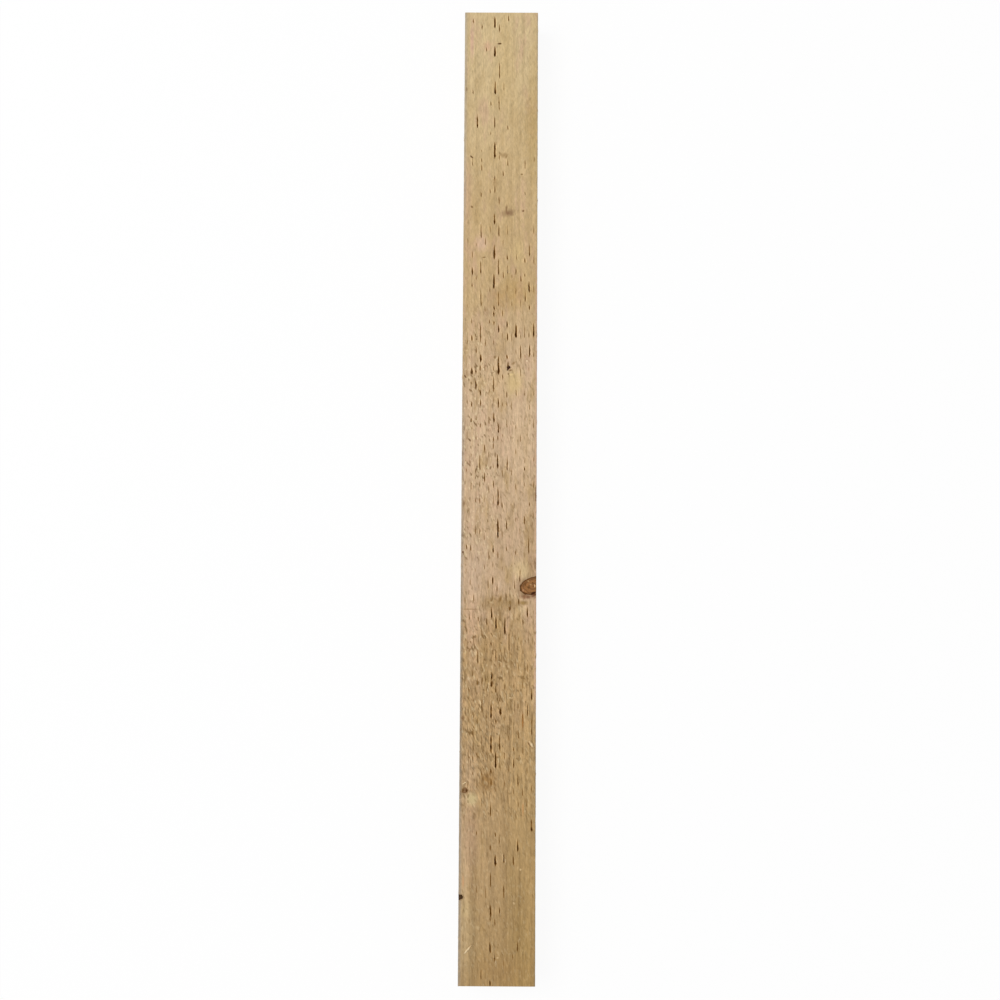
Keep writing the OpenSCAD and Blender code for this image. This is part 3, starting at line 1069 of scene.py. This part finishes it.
def torn_fibres(material):
    """Fibres that the knives tore up along the lips of their slits, on all four long faces."""
    slivers = []
    for face in FACES:
        rng = np.random.default_rng(face.seed + 500)
        slits = knife_slits(face)
        slits = slits[slits[:, 3] > TORN_SLIT_DEPTH]
        columns = column_places(face)
        across_axis = np.array([face.across[0], 0, face.across[1]])
        outward = np.array([face.outward[0], 0, face.outward[1]])
        centre = np.array([face.centre[0], 0, face.centre[1]])
        for column, middle, length, _, half in slits[rng.integers(len(slits), size=FIBRES_PER_FACE)]:
            side = rng.choice((-1, 1))
            place = columns[int(column)] + side * (half + rng.uniform(*FIBRE_ASIDE))
            from_head = middle + rng.uniform(-0.5, 0.5) * length
            from_head = np.clip(from_head, FIBRE_END_ROOM, stud_length - FIBRE_END_ROOM)
            along = np.array([0, half_length - from_head, 0])
            root = centre + across_axis * place - outward * FIBRE_SUNK + along
            turn = math.radians(rng.uniform(-FIBRE_TURN, FIBRE_TURN))
            reach = rng.uniform(*FIBRE_LENGTHS) * rng.choice((-1, 1))
            lean = across_axis * math.sin(turn) + np.array([0, math.cos(turn), 0])
            tip = root + lean * reach + outward * (FIBRE_SUNK + rng.uniform(*FIBRE_LIFTS))
            fibre_half = rng.uniform(*FIBRE_HALF_WIDTHS)
            aside = np.cross(lean * np.sign(reach), outward) * fibre_half
            slivers.append(sliver(root, tip, aside, outward * fibre_half * SLIVER_FLATNESS))
    return sliver_piece("torn_fibres", slivers, material)


def fibre_material():
    """Fresh torn wood, paler than the sawn faces, in two tones that change from place to place."""
    material, nodes = new_material("torn_wood")
    cloud = nodes.noise(nodes.place(), (0.3, 0.08, 0.3))
    show_wood(nodes, nodes.mix(nodes.step(cloud, 0.4, 0.6), *FIBRE_TONES))
    return material


# The camera stands over the stud, a little towards its foot, and leans so that the head end looks narrower.
# Its places are in metres
CAMERA_LENS = 50
CAMERA_PLACE = (0.0047, -0.1314, 1.4263)
CAMERA_AIM = (0.0010, -0.0149, 0.047)
CAMERA_ROLL = 0.2995


def place_camera():
    """The camera looks from its place to its aim with +Y up in the picture, rolled about that line."""
    camera = add_object("camera", bpy.data.cameras.new("camera"))
    camera.data.lens = CAMERA_LENS
    back = (Vector(CAMERA_PLACE) - Vector(CAMERA_AIM)).normalized()
    right = Vector((0, 1, 0)).cross(back).normalized()
    axes = Matrix((right, back.cross(right), back)).transposed()
    turned = Matrix.Rotation(math.radians(CAMERA_ROLL), 3, back) @ axes
    camera.matrix_world = Matrix.Translation(CAMERA_PLACE) @ turned.to_4x4()
    bpy.context.scene.camera = camera


# How much of the floor is plain white where it is seen, while the rest shows the stud's shadow; how far the
# floor reaches, and its gap below the stud
WHITE_SHARE = 0.93
FLOOR_REACH = 6000
FLOOR_GAP = 0.2


def seen_directly(nodes):
    """1 for rays from the camera, and for those that a glossy or clear surface sends on, else 0."""
    outputs = nodes.add("ShaderNodeLightPath").node.outputs
    seen = nodes.math("MAXIMUM", outputs["Is Camera Ray"], outputs["Is Glossy Ray"])
    return nodes.math("MAXIMUM", seen, outputs["Is Transmission Ray"])


def place_floor():
    """A pale floor just under the stud: mostly plain white where it is seen, with the stud's shadow in it."""
    material, nodes = new_material("floor_white")
    diffuse = nodes.add("ShaderNodeBsdfDiffuse", {"Color": (0.95, 0.95, 0.95, 1)})
    glow = nodes.add("ShaderNodeEmission", {"Color": (1, 1, 1, 1), "Strength": 1.0})
    share = nodes.times(seen_directly(nodes), WHITE_SHARE)
    nodes.show(nodes.add("ShaderNodeMixShader", (share, diffuse, glow)))
    corners = np.array([(-1, -1), (1, -1), (1, 1), (-1, 1)]) * FLOOR_REACH
    points = np.column_stack([corners, np.full(4, -FLOOR_GAP)])
    mesh_piece("floor", points, [(0, 1, 2, 3)], material)


# Light: an even sky, and one large soft lamp high on the left, in metres. Together they show a colour on a
# level face as it is written
SKY_LIGHT = 0.5
KEY_PLACE = (-1.6, 0.5, 3.6)
KEY_SIZE = 2.0
KEY_WATTS = 86


def place_lights():
    """The sky, which is white where it is seen, and the lamp, which faces the stud."""
    world = bpy.data.worlds.new("studio")
    world.use_nodes = True
    nodes = Nodes(world.node_tree)
    strength = nodes.math("MULTIPLY_ADD", seen_directly(nodes), 1 - SKY_LIGHT, SKY_LIGHT)
    sky = nodes.add("ShaderNodeBackground", {"Color": (1, 1, 1, 1), "Strength": strength})
    nodes.show(sky, "ShaderNodeOutputWorld")
    bpy.context.scene.world = world
    lamp = bpy.data.lights.new("key", "AREA")
    lamp.size = KEY_SIZE
    lamp.energy = KEY_WATTS
    key = add_object("key", lamp)
    key.location = KEY_PLACE
    key.rotation_mode = "QUATERNION"
    key.rotation_quaternion = (-Vector(KEY_PLACE)).to_track_quat("-Z", "Y")


bpy.context.scene.view_settings.view_transform = "Standard"
place_camera()
place_floor()
place_lights()
timber = timber_material()
torn_wood = fibre_material()
skin = stud_skin(timber)
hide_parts("stud")
for piece in (skin, loose_splinters(torn_wood), torn_fibres(torn_wood)):
    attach(piece, "root")
